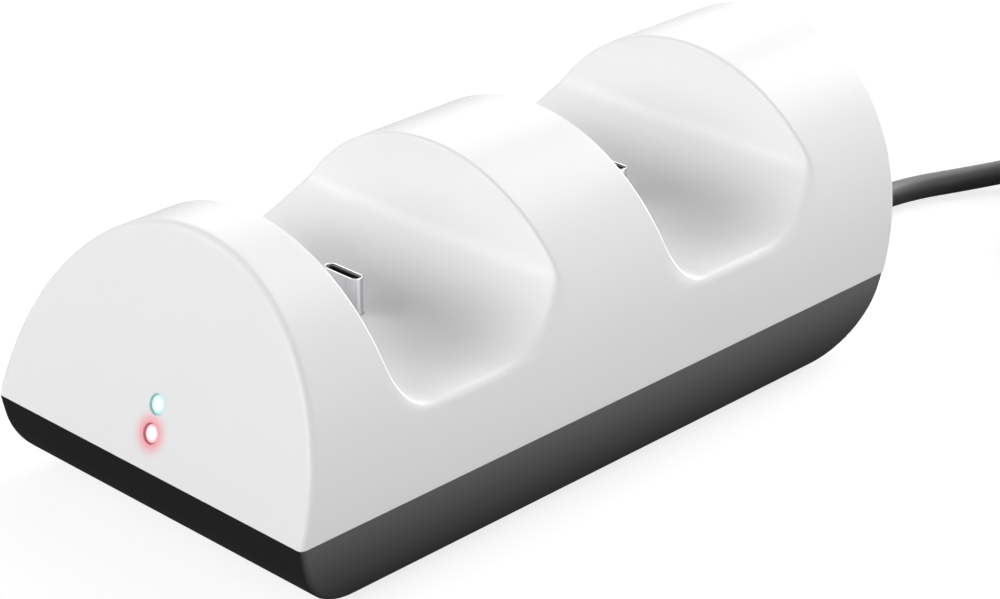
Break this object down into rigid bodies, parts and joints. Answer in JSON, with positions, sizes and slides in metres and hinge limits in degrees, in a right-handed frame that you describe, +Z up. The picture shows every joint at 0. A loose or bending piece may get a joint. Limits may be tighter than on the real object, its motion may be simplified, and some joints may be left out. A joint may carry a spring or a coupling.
{
  "type": "controller charging dock",
  "caption": "Arched desk dock with saddle-shaped pockets, each with an upright charging plug, on a dark tray, with lights in the leaning front face and a cord behind.",
  "frame": {"origin": "on the resting surface under the feet, below the middle of the case's length and width", "axes": "+Z up; -Y towards the leaning front face with the lights; +Y along the case towards the cord; +X to the right of someone facing the front"},
  "size_m": [0.1338, 0.2563, 0.0522],
  "materials": {
    "shell": "satin white moulding with a fine grain",
    "tray": "satin near-black moulding",
    "foot_rubber": "matt black rubber",
    "screw_steel": "zinc-plated steel",
    "plug_steel": "bright drawn steel",
    "plug_black": "satin black moulding",
    "contact_gold": "gold-plated",
    "holder_black": "matt black moulding",
    "board_green": "satin solder mask",
    "chip_black": "matt moulded package",
    "inductor_grey": "matt ferrite",
    "header_ivory": "matt ivory moulding",
    "emitter": "clear resin over phosphor",
    "upper_lens": "clear light pipe, lit white",
    "lower_lens": "clear light pipe, lit white with a red edge",
    "relief_rubber": "matt flexible moulding",
    "cord_jacket": "satin dark-grey jacket",
    "tie_black": "satin flexible band",
    "lead_red": "glossy insulation",
    "lead_black": "glossy insulation",
    "usb_grip": "matt black overmould"
  },
  "bodies": {
    "root": {"top_shell": "shell", "base_tray": "tray", "front_left_foot": "foot_rubber", "front_right_foot": "foot_rubber", "rear_left_foot": "foot_rubber", "rear_right_foot": "foot_rubber", "case_screws": "screw_steel", "holder_screws": "screw_steel", "board_screws": "screw_steel", "led_screws": "screw_steel", "clamp_screws": "screw_steel", "front_plug_shell": "plug_steel", "rear_plug_shell": "plug_steel", "usb_plug_shell": "plug_steel", "front_plug_insert": "plug_black", "rear_plug_insert": "plug_black", "usb_plug_tongue": "plug_black", "front_plug_contacts": "contact_gold", "rear_plug_contacts": "contact_gold", "front_plug_holder": "holder_black", "rear_plug_holder": "holder_black", "cord_clamp": "holder_black", "main_board": "board_green", "front_riser_board": "board_green", "rear_riser_board": "board_green", "led_board": "board_green", "charge_chips": "chip_black", "inductors": "inductor_grey", "cord_header": "header_ivory", "upper_led": "emitter", "lower_led": "emitter", "upper_light_pipe": "upper_lens", "lower_light_pipe": "lower_lens", "strain_relief": "relief_rubber", "inner_cord": "cord_jacket", "cord": "cord_jacket", "cord_coil": "cord_jacket", "cord_end": "cord_jacket", "cord_tie": "tie_black", "red_lead": "lead_red", "black_lead": "lead_black", "usb_plug_body": "usb_grip"}
  },
  "joints": []
}
